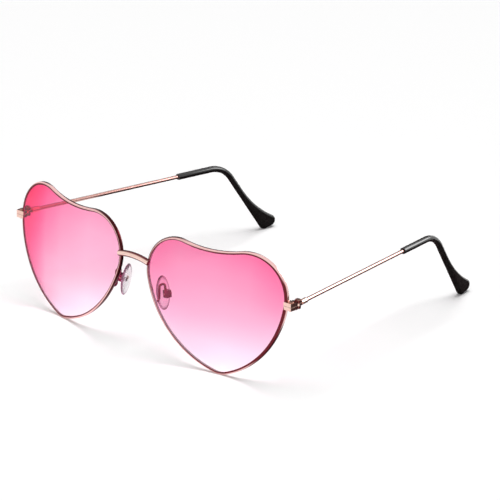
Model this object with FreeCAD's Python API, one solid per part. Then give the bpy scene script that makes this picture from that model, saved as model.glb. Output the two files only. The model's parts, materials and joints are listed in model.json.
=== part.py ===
import FreeCAD, Part
import math
import os

# Heart shaped wire sunglasses in millimetres, standing on the two heart points and the two temple tips.
# +X is the wearer's left, +Y runs back along the temples, +Z is up.
# A drop is measured down from the top of the rims.
# The left half is modelled square, with level temples and the heart points at height zero,
# then mirrored, leaned back until all four feet touch the ground, and centred over the origin.

Vector = FreeCAD.Vector

# Heart outline of a rim, outside, seen from the front
RIM_WIDTH = 62.0
RIM_HEIGHT = 50.5
INNER_LOBE_RADIUS = 14.8
OUTER_LOBE_RADIUS = 16.0
INNER_LOBE_DROP = 1.4
NOTCH_RADIUS = 60.0
POINT_RADIUS = 9.0
POINT_OFFSET = 34.2
INNER_SIDE_RADIUS = 42.8
OUTER_SIDE_RADIUS = 38.4

# Front of the glasses
BRIDGE_GAP = 13.0
FACE_WRAP_ANGLE = 8.4
LENS_CURVE_RADIUS = 167.0

# Grooved wire of the rims, and the lenses that snap into it
RIM_WIRE_WIDTH = 1.1
RIM_WIRE_DEPTH = 1.5
RIM_EDGE_ROUND = 0.3
RIM_SLIT = 0.2
LENS_THICKNESS = 1.2
LENS_TONGUE_REACH = 0.4
LENS_TONGUE_THICKNESS = 0.6
LENS_CLEARANCE = 0.05
SOLDER_GAP = 0.02

# Bridge bar, lapped over the front of both rims
BRIDGE_BAR_RADIUS = 1.2
BRIDGE_DROP = 14.0
BRIDGE_RISE = 1.0
BRIDGE_END_REACH = 0.15
BRIDGE_BAR_FORWARD = 0.9

# Closing block that clamps the slit in the rim, in two halves with a screw
BLOCK_REACH = 2.5
BLOCK_DEPTH = 3.2
BLOCK_HEIGHT = 3.0
BLOCK_LIP = 0.45
BLOCK_SPLIT = 0.1
CLOSING_SCREW_RADIUS = 0.55
CLOSING_SCREW_HEAD_RADIUS = 0.9
CLOSING_SCREW_HEAD_HEIGHT = 0.3
CLOSING_SCREW_SLOT_WIDTH = 0.25
SCREW_CLEARANCE = 0.04

# Temple hinge, with two knuckles on the front leaf and one on the temple leaf
HINGE_DROP = 17.3
HINGE_LEAF_THICKNESS = 0.7
HINGE_WEB_WIDTH = 1.7
KNUCKLE_RADIUS = 1.2
KNUCKLE_HEIGHT = 1.0
KNUCKLE_CLEARANCE = 0.12
HINGE_SCREW_RADIUS = 0.6
HINGE_SCREW_HEAD_RADIUS = 1.0
HINGE_SCREW_HEAD_HEIGHT = 0.3
HINGE_SCREW_SLOT_WIDTH = 0.3

# Temple wire and its socket in the temple leaf
TEMPLE_INWARD_ANGLE = 8.8
TEMPLE_WIRE_RADIUS = 0.73
SOCKET_START = 1.9
SOCKET_LENGTH = 3.4
SOCKET_WALL = 0.32
SOCKET_DEPTH = 2.6
BUSH_CLEARANCE = 0.03

# Plastic temple tip, a sleeve that bends down and flares backwards into a paddle with two round corners
TIP_START = 72.5
TIP_CORNER = 95.5
TIP_BEND_RADIUS = 13.0
TIP_DROP_ANGLE = 54.0
TIP_DROP_LENGTH = 35.5
TIP_START_WIDTH = 2.4
TIP_PADDLE_WIDTH = 7.4
TIP_PADDLE_CORNER = 2.3
TIP_PADDLE_SLANT = 1.2
TIP_FLARE_LENGTH = 22.0
TIP_THICKNESS = 2.5
TIP_EDGE_ROUND = 1.1
TIP_CORE_SHORTFALL = 14.0

# Nose pad with its stem, and the box and screw that hold it
PAD_LENGTH = 13.2
PAD_WIDTH = 6.0
PAD_THICKNESS = 2.2
PAD_SPREAD = 11.9
PAD_SETBACK = 3.8
PAD_DROP = 26.8
PAD_SPLAY_ANGLE = 10.0
PAD_FLARE_ANGLE = 9.5
PAD_STEM_WIDTH = 1.1
PAD_STEM_HEIGHT = 1.5
PAD_STEM_REACH = 2.2
PAD_BOX_WALL = 0.5
PAD_BOX_HEIGHT = 2.8
PAD_BOX_BACK_GAP = 0.35
PAD_BOX_CHEEK_REACH = 0.7
PAD_SCREW_RADIUS = 0.4
PAD_SCREW_HEAD_RADIUS = 1.0
PAD_SCREW_HEAD_HEIGHT = 0.6
PAD_CLEARANCE = 0.06

# Looped wire arm from the back of the rim to the pad box
ARM_WIRE_RADIUS = 0.45
ARM_FOOT_DROP = 28.9
ARM_LOOP_DROP = 22.8
ARM_FOOT_SETBACK = 1.6
ARM_BEND_RADIUS = 1.0

# Every cutting tool passes this far beyond what it cuts
OVERRUN = 5.0


def circle_meeting(centre_a, reach_a, centre_b, reach_b, side):
    """Point at the given reaches from two centres, left (1) or right (-1) of the way from a to b."""
    along = centre_b - centre_a
    distance = along.Length
    along.normalize()
    across = Vector(-along.z, 0, along.x)
    forward = (reach_a ** 2 - reach_b ** 2 + distance ** 2) / (2 * distance)
    return centre_a + along * forward + across * (side * math.sqrt(reach_a ** 2 - forward ** 2))


def heart_arcs():
    """Six tangent arcs of the left rim's outline as (centre, radius, direction, start, end)."""
    nasal_edge = BRIDGE_GAP / 2
    inner_lobe = Vector(nasal_edge + INNER_LOBE_RADIUS, 0, RIM_HEIGHT - INNER_LOBE_DROP - INNER_LOBE_RADIUS)
    outer_lobe = Vector(nasal_edge + RIM_WIDTH - OUTER_LOBE_RADIUS, 0, RIM_HEIGHT - OUTER_LOBE_RADIUS)
    point = Vector(nasal_edge + POINT_OFFSET, 0, POINT_RADIUS)
    notch = circle_meeting(inner_lobe, NOTCH_RADIUS + INNER_LOBE_RADIUS,
                           outer_lobe, NOTCH_RADIUS + OUTER_LOBE_RADIUS, 1)
    outer_side = circle_meeting(outer_lobe, OUTER_SIDE_RADIUS - OUTER_LOBE_RADIUS,
                                point, OUTER_SIDE_RADIUS - POINT_RADIUS, -1)
    inner_side = circle_meeting(inner_lobe, INNER_SIDE_RADIUS - INNER_LOBE_RADIUS,
                                point, INNER_SIDE_RADIUS - POINT_RADIUS, 1)

    def heading(start, end):
        way = end - start
        return math.atan2(way.z, way.x)

    # An arc ends where the line between its centre and the next centre crosses it.
    inward, outward = 1, -1
    outer_low = heading(outer_side, point)
    outer_high = heading(outer_side, outer_lobe)
    notch_outer = heading(notch, outer_lobe)
    notch_inner = heading(notch, inner_lobe)
    inner_high = heading(inner_side, inner_lobe)
    inner_low = heading(inner_side, point)
    return [
        (point, POINT_RADIUS, inward, inner_low, outer_low),
        (outer_side, OUTER_SIDE_RADIUS, inward, outer_low, outer_high),
        (outer_lobe, OUTER_LOBE_RADIUS, inward, outer_high, notch_outer + math.pi),
        (notch, NOTCH_RADIUS, outward, notch_outer, notch_inner),
        (inner_lobe, INNER_LOBE_RADIUS, inward, notch_inner + math.pi, inner_high),
        (inner_side, INNER_SIDE_RADIUS, inward, inner_high, inner_low),
    ]


def heart_prism(inset):
    """The left heart outline, moved inwards by the inset and drawn out from front to back."""
    front = Vector(0, -PRISM_REACH, 0)
    edges = []
    for centre, radius, direction, start, end in heart_arcs():
        inset_radius = radius - direction * inset
        turn = (end - start) * direction % (2 * math.pi) * direction

        def place(share):
            angle = start + share * turn
            return centre + front + Vector(math.cos(angle), 0, math.sin(angle)) * inset_radius

        edges.append(Part.Arc(place(0), place(1 / 2), place(1)).toShape())
    face = Part.Face(Part.Wire(edges))
    return face.extrude(front * -2)


def curve_centre():
    """Centre of the sphere that the left lens and rim follow."""
    wrap = math.radians(FACE_WRAP_ANGLE)
    middle = Vector(BRIDGE_GAP / 2 + RIM_WIDTH / 2, 0, RIM_HEIGHT / 2)
    return middle + Vector(-math.sin(wrap), math.cos(wrap), 0) * LENS_CURVE_RADIUS


def curve_setback(x, z):
    """How far back the middle of the left rim's wire lies at a place seen from the front."""
    centre = curve_centre()
    reach = math.sqrt(LENS_CURVE_RADIUS ** 2 - (x - centre.x) ** 2 - (z - centre.z) ** 2)
    return centre.y - reach


def curved_disc(inset, thickness):
    """Heart shaped disc of even thickness on the lens sphere."""
    centre = curve_centre()
    ball = Part.makeSphere(LENS_CURVE_RADIUS + thickness / 2, centre)
    hollow = Part.makeSphere(LENS_CURVE_RADIUS - thickness / 2, centre)
    return heart_prism(inset).common(ball).cut(hollow)


def rim_seat():
    """Space that the left rim and lens take up, with room for solder around it."""
    return curved_disc(-SOLDER_GAP, RIM_WIRE_DEPTH + 2 * SOLDER_GAP)


def make_rim():
    ring = curved_disc(0, RIM_WIRE_DEPTH).cut(heart_prism(RIM_WIRE_WIDTH))
    long_edges = [edge for edge in ring.Edges if not isinstance(edge.Curve, Part.Line)]
    ring = ring.makeFillet(RIM_EDGE_ROUND, long_edges)
    groove = curved_disc(RIM_WIRE_WIDTH - LENS_TONGUE_REACH - LENS_CLEARANCE,
                         LENS_TONGUE_THICKNESS + 2 * LENS_CLEARANCE)
    slit = Part.makeBox(RIM_WIDTH, 2 * PRISM_REACH, RIM_SLIT,
                        Vector(TEMPORAL_EDGE - RIM_WIDTH / 2, -PRISM_REACH, HINGE_HEIGHT - RIM_SLIT / 2))
    return ring.cut(groove).cut(slit)


def make_lens():
    pane = curved_disc(RIM_WIRE_WIDTH + LENS_CLEARANCE, LENS_THICKNESS)
    tongue = curved_disc(RIM_WIRE_WIDTH - LENS_TONGUE_REACH, LENS_TONGUE_THICKNESS)
    return pane.fuse(tongue).removeSplitter()


def bent_path(points, bend_radius):
    """Straight runs through the points, joined by tangent arcs."""
    edges = []
    begin = points[0]
    for before, corner, after in zip(points, points[1:], points[2:]):
        arriving = (corner - before).normalize()
        leaving = (after - corner).normalize()
        turn = arriving.getAngle(leaving)
        setback = bend_radius * math.tan(turn / 2)
        into = (leaving - arriving).normalize()
        first = corner - arriving * setback
        last = corner + leaving * setback
        middle = corner + into * (bend_radius / math.cos(turn / 2) - bend_radius)
        edges.append(Part.LineSegment(begin, first).toShape())
        edges.append(Part.Arc(first, middle, last).toShape())
        begin = last
    edges.append(Part.LineSegment(begin, points[-1]).toShape())
    return Part.Wire(edges)


def round_bar(path, radius):
    """Solid round bar along a path."""
    edge = path.Edges[0]
    start = edge.valueAt(edge.FirstParameter)
    ring = Part.Wire(Part.makeCircle(radius, start, edge.tangentAt(edge.FirstParameter)))
    return path.makePipeShell([ring], True, False)


def make_bridge(seat, other_seat):
    end = BRIDGE_GAP / 2 + RIM_WIRE_WIDTH + BRIDGE_END_REACH
    setback = curve_setback(BRIDGE_GAP / 2, BRIDGE_HEIGHT) - BRIDGE_BAR_FORWARD
    low = BRIDGE_HEIGHT - BRIDGE_RISE / 2
    crown = Vector(0, setback, low + BRIDGE_RISE)
    arch = Part.Arc(Vector(-end, setback, low), crown, Vector(end, setback, low))
    bar = round_bar(Part.Wire(arch.toShape()), BRIDGE_BAR_RADIUS)
    return bar.cut(seat).cut(other_seat)


def upright_screw(foot, length, radius, head_radius, head_height, slot_width):
    """Screw standing on its foot, with a slotted head on top."""
    shank = Part.makeCylinder(radius, length, foot)
    top = foot + Vector(0, 0, length)
    head = Part.makeCylinder(head_radius, head_height, top)
    slot = Part.makeBox(2 * head_radius, slot_width, head_height,
                        top + Vector(-head_radius, -slot_width / 2, head_height / 2))
    return shank.fuse(head).removeSplitter().cut(slot)


def make_closing_blocks(seat):
    """Upper and lower half of the left closing block, and its screw."""
    bottom = HINGE_HEIGHT - BLOCK_HEIGHT / 2
    body = Part.makeBox(BLOCK_REACH + RIM_WIRE_WIDTH / 2, BLOCK_DEPTH, BLOCK_HEIGHT,
                        Vector(TEMPORAL_EDGE - RIM_WIRE_WIDTH / 2, BLOCK_FRONT, bottom))
    lip = Part.makeBox(RIM_WIRE_WIDTH, BLOCK_LIP + RIM_WIRE_DEPTH / 2, BLOCK_HEIGHT,
                       Vector(TEMPORAL_EDGE - RIM_WIRE_WIDTH, BLOCK_FRONT, bottom))
    screw_foot = Vector(TEMPORAL_EDGE + BLOCK_REACH / 2, BLOCK_FRONT + BLOCK_DEPTH / 2, bottom)
    hole = Part.makeCylinder(CLOSING_SCREW_RADIUS + SCREW_CLEARANCE, BLOCK_HEIGHT, screw_foot)
    block = body.fuse(lip).removeSplitter().cut(seat).cut(hole)
    half_height = (BLOCK_HEIGHT - BLOCK_SPLIT) / 2
    room = Vector(TEMPORAL_EDGE - RIM_WIRE_WIDTH, BLOCK_FRONT, bottom)
    lower_room = Part.makeBox(BLOCK_REACH + RIM_WIRE_WIDTH, BLOCK_DEPTH, half_height, room)
    upper_room = lower_room.translated(Vector(0, 0, half_height + BLOCK_SPLIT))
    screw = upright_screw(screw_foot, BLOCK_HEIGHT, CLOSING_SCREW_RADIUS, CLOSING_SCREW_HEAD_RADIUS,
                          CLOSING_SCREW_HEAD_HEIGHT, CLOSING_SCREW_SLOT_WIDTH)
    return block.common(upper_room), block.common(lower_room), screw


def make_front_leaf():
    """Plate soldered to the back of the closing block, with the upper and lower knuckle."""
    foot = HINGE_AXIS - Vector(0, 0, HINGE_STACK / 2)
    setback = KNUCKLE_RADIUS + KNUCKLE_CLEARANCE + HINGE_LEAF_THICKNESS
    plate = Part.makeBox(2 * KNUCKLE_RADIUS, HINGE_LEAF_THICKNESS, HINGE_STACK,
                         foot + Vector(-KNUCKLE_RADIUS, -setback, 0))
    leaf = plate
    bore = Part.makeCylinder(HINGE_SCREW_RADIUS + SCREW_CLEARANCE, HINGE_STACK, foot)
    for step in (0, 2 * (KNUCKLE_HEIGHT + KNUCKLE_CLEARANCE)):
        level = foot + Vector(0, 0, step)
        barrel = Part.makeCylinder(KNUCKLE_RADIUS, KNUCKLE_HEIGHT, level)
        web = Part.makeBox(HINGE_WEB_WIDTH, setback, KNUCKLE_HEIGHT,
                           level + Vector(-HINGE_WEB_WIDTH / 2, -setback, 0))
        leaf = leaf.fuse([barrel, web])
    return leaf.removeSplitter().cut(bore)


def make_hinge_screw():
    foot = HINGE_AXIS - Vector(0, 0, HINGE_STACK / 2)
    return upright_screw(foot, HINGE_STACK, HINGE_SCREW_RADIUS, HINGE_SCREW_HEAD_RADIUS,
                         HINGE_SCREW_HEAD_HEIGHT, HINGE_SCREW_SLOT_WIDTH)


def temple_heading():
    """Direction in which the left temple runs back from its hinge."""
    inward = math.radians(TEMPLE_INWARD_ANGLE)
    return Vector(-math.sin(inward), math.cos(inward), 0)


def temple_place(along, drop):
    """Point at a distance back along the left temple and below its wire."""
    return HINGE_AXIS + temple_heading() * along - Vector(0, 0, drop)


def make_temple_leaf():
    """Middle knuckle of the left hinge, with the socket for the temple wire."""
    along = temple_heading()
    foot = HINGE_AXIS - Vector(0, 0, KNUCKLE_HEIGHT / 2)
    barrel = Part.makeCylinder(KNUCKLE_RADIUS, KNUCKLE_HEIGHT, foot)
    neck = Part.makeBox(HINGE_WEB_WIDTH, SOCKET_START + SOCKET_LENGTH / 2, KNUCKLE_HEIGHT,
                        foot - Vector(HINGE_WEB_WIDTH / 2, 0, 0))
    neck.rotate(HINGE_AXIS, Vector(0, 0, 1), TEMPLE_INWARD_ANGLE)
    socket = Part.makeCylinder(TEMPLE_WIRE_RADIUS + SOCKET_WALL, SOCKET_LENGTH,
                               temple_place(SOCKET_START, 0), along)
    wire_room = Part.makeCylinder(TEMPLE_WIRE_RADIUS + BUSH_CLEARANCE, SOCKET_DEPTH + OVERRUN,
                                  temple_place(SOCKET_BOTTOM, 0), along)
    bore = Part.makeCylinder(HINGE_SCREW_RADIUS + SCREW_CLEARANCE, KNUCKLE_HEIGHT, foot)
    return barrel.fuse([neck, socket]).removeSplitter().cut(bore).cut(wire_room)


def on_drop(run, rise):
    """Point in the upright plane of the left temple, down its drop from the corner and up square to it."""
    drop_angle = math.radians(TIP_DROP_ANGLE)
    return temple_place(TIP_CORNER + run * math.cos(drop_angle) + rise * math.sin(drop_angle),
                        run * math.sin(drop_angle) - rise * math.cos(drop_angle))


def temple_path(start, end_shortfall):
    """Level run, bend and drop of the left temple, stopping short of the tip's front corner."""
    end = on_drop(TIP_DROP_LENGTH - end_shortfall, 0)
    return bent_path([temple_place(start, 0), temple_place(TIP_CORNER, 0), end], TIP_BEND_RADIUS)


def make_temple_wire():
    return round_bar(temple_path(SOCKET_BOTTOM + BUSH_CLEARANCE, TIP_CORE_SHORTFALL), TEMPLE_WIRE_RADIUS)


def tip_front_corner():
    """Run and rise of the middle of the paddle's front corner, the temple's lowest place."""
    return TIP_DROP_LENGTH, TIP_PADDLE_CORNER - TIP_START_WIDTH / 2


def tip_outline():
    """Outline of the temple tip in the upright plane of the temple, from the mouth over the bend and back."""
    half_width = TIP_START_WIDTH / 2
    drop_angle = math.radians(TIP_DROP_ANGLE)
    bend = (TIP_BEND_RADIUS * math.tan(drop_angle / 2), -TIP_BEND_RADIUS)
    front_corner = tip_front_corner()
    flare_rise = TIP_PADDLE_WIDTH - TIP_START_WIDTH - TIP_PADDLE_CORNER
    back_corner = (TIP_DROP_LENGTH + TIP_PADDLE_SLANT, half_width + flare_rise)
    # The hollow back edge touches both the straight edge and the back corner.
    flare_reach = TIP_PADDLE_CORNER + flare_rise
    flare_radius = (TIP_FLARE_LENGTH ** 2 / flare_reach - TIP_PADDLE_CORNER + flare_rise) / 2
    flare = (back_corner[0] - TIP_FLARE_LENGTH, half_width + flare_radius)

    def heading(start, end):
        return math.atan2(end[1] - start[1], end[0] - start[0])

    def arc(centre, radius, first, last):
        run, rise = centre
        turns = (first, (first + last) / 2, last)
        return [on_drop(run + radius * math.cos(turn), rise + radius * math.sin(turn)) for turn in turns]

    square = math.pi / 2
    end_heading = heading(front_corner, back_corner) - square
    outer_bend = arc(bend, TIP_BEND_RADIUS + half_width, square + drop_angle, square)
    flare_arc = arc(flare, flare_radius, -square, heading(flare, back_corner))
    back_arc = arc(back_corner, TIP_PADDLE_CORNER, heading(back_corner, flare), end_heading)
    front_arc = arc(front_corner, TIP_PADDLE_CORNER, end_heading, -square)
    inner_bend = arc(bend, TIP_BEND_RADIUS - half_width, square, square + drop_angle)
    mouth_top = temple_place(TIP_START, -half_width)
    mouth_low = temple_place(TIP_START, half_width)
    return Part.Wire([
        Part.LineSegment(mouth_top, outer_bend[0]).toShape(),
        Part.Arc(*outer_bend).toShape(),
        Part.LineSegment(outer_bend[-1], flare_arc[0]).toShape(),
        Part.Arc(*flare_arc).toShape(),
        Part.Arc(*back_arc).toShape(),
        Part.LineSegment(back_arc[-1], front_arc[0]).toShape(),
        Part.Arc(*front_arc).toShape(),
        Part.LineSegment(front_arc[-1], inner_bend[0]).toShape(),
        Part.Arc(*inner_bend).toShape(),
        Part.LineSegment(inner_bend[-1], mouth_low).toShape(),
        Part.LineSegment(mouth_low, mouth_top).toShape(),
    ])


def make_temple_tip():
    """Rounded sleeve that widens from its mouth to the paddle."""
    along = temple_heading()
    across = Vector(0, 0, 1).cross(along)
    mouth = temple_place(TIP_START, 0)
    face = Part.Face(tip_outline())
    face.translate(across * (-TIP_THICKNESS / 2))
    blank = face.extrude(across * TIP_THICKNESS)

    def at_mouth(edge):
        return all(abs((vertex.Point - mouth).dot(along)) < TIP_EDGE_ROUND for vertex in edge.Vertexes)

    def runs_across(edge):
        way = edge.tangentAt(edge.FirstParameter)
        return isinstance(edge.Curve, Part.Line) and abs(way.dot(across)) > 1 / 2

    rounded = [edge for edge in blank.Edges if not at_mouth(edge) and not runs_across(edge)]
    sleeve = blank.makeFillet(TIP_EDGE_ROUND, rounded)
    bore = round_bar(temple_path(TIP_START - OVERRUN, TIP_CORE_SHORTFALL - BUSH_CLEARANCE),
                     TEMPLE_WIRE_RADIUS + BUSH_CLEARANCE)
    return sleeve.cut(bore)


def pad_placement():
    """Left pad screw's own frame: X back along the screw, Y away from the nose, Z down along the pad."""
    middle = Vector(PAD_SPREAD, PAD_SETBACK, PAD_HEIGHT)
    splay = FreeCAD.Rotation(Vector(0, 0, 1), 90 - PAD_SPLAY_ANGLE)
    flare = FreeCAD.Rotation(Vector(0, 1, 0), -PAD_FLARE_ANGLE)
    aim = FreeCAD.Rotation(Vector(1, 0, 0), 180)
    return FreeCAD.Placement(middle, flare * splay * aim)


def make_nose_pad():
    """Oval pad with a stem, in the pad screw's frame."""
    unit = FreeCAD.Matrix()
    unit.scale(PAD_WIDTH / 2, PAD_THICKNESS / 2, PAD_LENGTH / 2)
    oval = Part.makeSphere(1).transformGeometry(unit)
    oval.translate(Vector(0, -PAD_STEM_REACH, 0))
    stem = Part.makeBox(PAD_STEM_WIDTH, PAD_STEM_REACH + PAD_STEM_HEIGHT / 2, PAD_STEM_HEIGHT,
                        Vector(-PAD_STEM_WIDTH / 2, -PAD_STEM_REACH, -PAD_STEM_HEIGHT / 2))
    hole = Part.makeCylinder(PAD_SCREW_RADIUS + PAD_CLEARANCE, PAD_STEM_WIDTH,
                             Vector(-PAD_STEM_WIDTH / 2, 0, 0), Vector(1, 0, 0))
    return oval.fuse(stem).removeSplitter().cut(hole)


def make_pad_box():
    """Clip with two cheeks beside the pad's stem, in the pad screw's frame."""
    inside = PAD_STEM_WIDTH + 2 * PAD_CLEARANCE
    outside = inside + 2 * PAD_BOX_WALL
    back = PAD_BOX_BACK
    clip = Part.makeBox(outside, PAD_BOX_CHEEK_REACH + back + PAD_BOX_WALL, PAD_BOX_HEIGHT,
                        Vector(-outside / 2, -PAD_BOX_CHEEK_REACH, -PAD_BOX_HEIGHT / 2))
    room = Part.makeBox(inside, PAD_BOX_CHEEK_REACH + back, PAD_BOX_HEIGHT,
                        Vector(-inside / 2, -PAD_BOX_CHEEK_REACH, -PAD_BOX_HEIGHT / 2))
    hole = Part.makeCylinder(PAD_SCREW_RADIUS + SCREW_CLEARANCE, outside,
                             Vector(-outside / 2, 0, 0), Vector(1, 0, 0))
    return clip.cut(room).cut(hole)


def make_pad_screw():
    """Pin through both cheeks and the stem with a head at the back, in the pad screw's frame."""
    outside = PAD_STEM_WIDTH + 2 * PAD_CLEARANCE + 2 * PAD_BOX_WALL
    pin = Part.makeCylinder(PAD_SCREW_RADIUS, outside, Vector(-outside / 2, 0, 0), Vector(1, 0, 0))
    head = Part.makeCylinder(PAD_SCREW_HEAD_RADIUS, PAD_SCREW_HEAD_HEIGHT,
                             Vector(outside / 2, 0, 0), Vector(1, 0, 0))
    return pin.fuse(head).removeSplitter()


def nasal_side(height):
    """Distance from the mirror plane to the middle of the left rim's wire, low on its nose side."""
    inner_side = heart_arcs()[-1]
    centre, radius = inner_side[0], inner_side[1] - RIM_WIRE_WIDTH / 2
    return centre.x - math.sqrt(radius ** 2 - (height - centre.z) ** 2)


def temporal_side(height):
    """Distance from the mirror plane to the outside of the left rim, at a height on its temple side."""
    outer_side, outer_lobe = heart_arcs()[1:3]
    centre, radius, _, _, end = outer_side
    if height > centre.z + radius * math.sin(end):
        centre, radius = outer_lobe[:2]
    return centre.x + math.sqrt(radius ** 2 - (height - centre.z) ** 2)


def make_pad_arm(seat):
    """Wire that leaves the back of the rim, loops upwards and comes down on top of the pad box."""
    frame = pad_placement()
    box_front = -(PAD_STEM_WIDTH / 2 + PAD_CLEARANCE + PAD_BOX_WALL)
    box_middle = (PAD_BOX_BACK + PAD_BOX_WALL - PAD_BOX_CHEEK_REACH) / 2
    end = frame.multVec(Vector(box_front + ARM_WIRE_RADIUS, box_middle, -PAD_BOX_HEIGHT / 2 - SOLDER_GAP))
    upwards = frame.Rotation.multVec(Vector(0, 0, -1))
    over_box = end + upwards * ((ARM_LOOP_HEIGHT - end.z) / upwards.z)
    foot_x = nasal_side(ARM_FOOT_HEIGHT)
    foot_y = curve_setback(foot_x, ARM_FOOT_HEIGHT)
    loop_y = foot_y + RIM_WIRE_DEPTH / 2 + ARM_FOOT_SETBACK
    points = [
        Vector(foot_x, foot_y, ARM_FOOT_HEIGHT),
        Vector(foot_x, loop_y, ARM_FOOT_HEIGHT),
        Vector(foot_x, loop_y, ARM_LOOP_HEIGHT),
        over_box,
        end,
    ]
    return round_bar(bent_path(points, ARM_BEND_RADIUS), ARM_WIRE_RADIUS).cut(seat)


def standing_placement():
    """Lean that lets the temple tips touch the ground together with the heart points."""
    point_x = BRIDGE_GAP / 2 + POINT_OFFSET
    heart_foot = curve_setback(point_x, 0) + RIM_WIRE_DEPTH / 2
    tip_foot = on_drop(*tip_front_corner())
    slope = math.atan2(tip_foot.z, tip_foot.y - heart_foot)
    distance = math.hypot(tip_foot.z, tip_foot.y - heart_foot)
    lean = slope - math.asin(TIP_PADDLE_CORNER / distance)
    return FreeCAD.Placement(Vector(0, 0, 0), FreeCAD.Rotation(Vector(1, 0, 0), -math.degrees(lean)))


# Places that follow from the sizes above
BRIDGE_HEIGHT = RIM_HEIGHT - BRIDGE_DROP
HINGE_HEIGHT = RIM_HEIGHT - HINGE_DROP
PAD_HEIGHT = RIM_HEIGHT - PAD_DROP
ARM_FOOT_HEIGHT = RIM_HEIGHT - ARM_FOOT_DROP
ARM_LOOP_HEIGHT = RIM_HEIGHT - ARM_LOOP_DROP
PRISM_REACH = RIM_WIDTH / 2
TEMPORAL_EDGE = temporal_side(HINGE_HEIGHT)
BLOCK_FRONT = curve_setback(TEMPORAL_EDGE, HINGE_HEIGHT) - RIM_WIRE_DEPTH / 2 - BLOCK_LIP
HINGE_STACK = 3 * KNUCKLE_HEIGHT + 2 * KNUCKLE_CLEARANCE
HINGE_AXIS = Vector(TEMPORAL_EDGE + BLOCK_REACH / 2,
                    BLOCK_FRONT + BLOCK_DEPTH + HINGE_LEAF_THICKNESS + KNUCKLE_CLEARANCE + KNUCKLE_RADIUS,
                    HINGE_HEIGHT)
SOCKET_BOTTOM = SOCKET_START + SOCKET_LENGTH - SOCKET_DEPTH
PAD_BOX_BACK = PAD_STEM_HEIGHT / 2 + PAD_BOX_BACK_GAP


def make_left_half(seat):
    """Every piece of the left half, by name."""
    upper_block, lower_block, closing_screw = make_closing_blocks(seat)
    pad_frame = pad_placement()
    half = {
        "rim": make_rim(),
        "lens": make_lens(),
        "closing_block_upper": upper_block,
        "closing_block_lower": lower_block,
        "closing_screw": closing_screw,
        "front_hinge_leaf": make_front_leaf(),
        "hinge_screw": make_hinge_screw(),
        "temple_hinge_leaf": make_temple_leaf(),
        "temple_wire": make_temple_wire(),
        "temple_tip": make_temple_tip(),
        "pad_arm": make_pad_arm(seat),
    }
    pad_pieces = {"pad_box": make_pad_box(), "pad_screw": make_pad_screw(), "nose_pad": make_nose_pad()}
    for name, piece in pad_pieces.items():
        half[name] = placed(piece, pad_frame)
    return half


def mirrored(shape):
    return shape.mirror(Vector(0, 0, 0), Vector(1, 0, 0))


def placed(shape, placement):
    moved = shape.copy()
    moved.Placement = placement * moved.Placement
    return moved


def main():
    os.makedirs("parts", exist_ok=True)
    seat = rim_seat()
    pieces = {"bridge": make_bridge(seat, mirrored(seat))}
    for name, shape in make_left_half(seat).items():
        pieces["left_" + name] = shape
        pieces["right_" + name] = mirrored(shape)

    stand = standing_placement()
    standing = {name: placed(shape, stand) for name, shape in pieces.items()}
    box = Part.makeCompound(list(standing.values())).optimalBoundingBox(False)
    to_origin = Vector(-box.Center.x, -box.Center.y, -box.ZMin)
    for name, shape in standing.items():
        shape.translate(to_origin)
        shape.exportStep("parts/" + name + ".step")

    # Where the left joints turn, in the finished frame
    pad_frame = pad_placement()
    turns = [
        ("temple fold", HINGE_AXIS, Vector(0, 0, 1)),
        ("pad rock", pad_frame.Base, pad_frame.Rotation.multVec(Vector(1, 0, 0))),
    ]
    for name, place, axis in turns:
        at = stand.multVec(place) + to_origin
        way = stand.Rotation.multVec(axis)
        place_text = [round(value, 4) for value in at]
        print("left", name, "at", place_text, "axis", [round(value, 6) for value in way])


main()
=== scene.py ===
import json
import math

import bmesh
import bpy
from mathutils import Matrix, Vector


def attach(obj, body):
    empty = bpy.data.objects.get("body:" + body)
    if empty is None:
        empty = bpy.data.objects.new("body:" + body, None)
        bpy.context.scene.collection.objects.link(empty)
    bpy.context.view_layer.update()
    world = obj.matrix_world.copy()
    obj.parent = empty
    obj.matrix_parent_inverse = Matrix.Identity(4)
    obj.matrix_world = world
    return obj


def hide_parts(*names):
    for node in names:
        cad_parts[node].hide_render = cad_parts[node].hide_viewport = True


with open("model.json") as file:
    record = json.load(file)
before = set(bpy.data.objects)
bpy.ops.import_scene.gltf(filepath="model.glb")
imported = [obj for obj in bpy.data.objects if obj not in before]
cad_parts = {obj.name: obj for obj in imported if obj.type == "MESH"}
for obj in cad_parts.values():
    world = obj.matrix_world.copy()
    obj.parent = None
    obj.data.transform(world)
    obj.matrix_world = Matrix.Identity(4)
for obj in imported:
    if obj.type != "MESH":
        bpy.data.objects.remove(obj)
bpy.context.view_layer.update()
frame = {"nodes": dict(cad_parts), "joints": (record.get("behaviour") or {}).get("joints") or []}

# Heart shaped sunglasses in metres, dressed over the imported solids.
# The left half is modelled square, as the solids are, then stood on its feet and mirrored.

SIDES = ("left", "right")
FORWARDS = Vector((0, -1, 0))
BACKWARDS = Vector((0, 1, 0))
UPWARDS = Vector((0, 0, 1))

# Heart outline of a rim, outside, seen from the front
RIM_WIDTH = 0.062
RIM_HEIGHT = 0.0505
INNER_LOBE_RADIUS = 0.0148
OUTER_LOBE_RADIUS = 0.016
INNER_LOBE_DROP = 0.0014
NOTCH_RADIUS = 0.06
POINT_RADIUS = 0.009
POINT_OFFSET = 0.0342
INNER_SIDE_RADIUS = 0.0428
OUTER_SIDE_RADIUS = 0.0384

# Front of the glasses
BRIDGE_GAP = 0.013
NASAL_EDGE = BRIDGE_GAP / 2
HEART_MIDDLE = Vector((NASAL_EDGE + RIM_WIDTH / 2, 0, RIM_HEIGHT / 2))
FACE_WRAP_ANGLE = math.radians(8.4)
LENS_CURVE_RADIUS = 0.167

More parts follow.
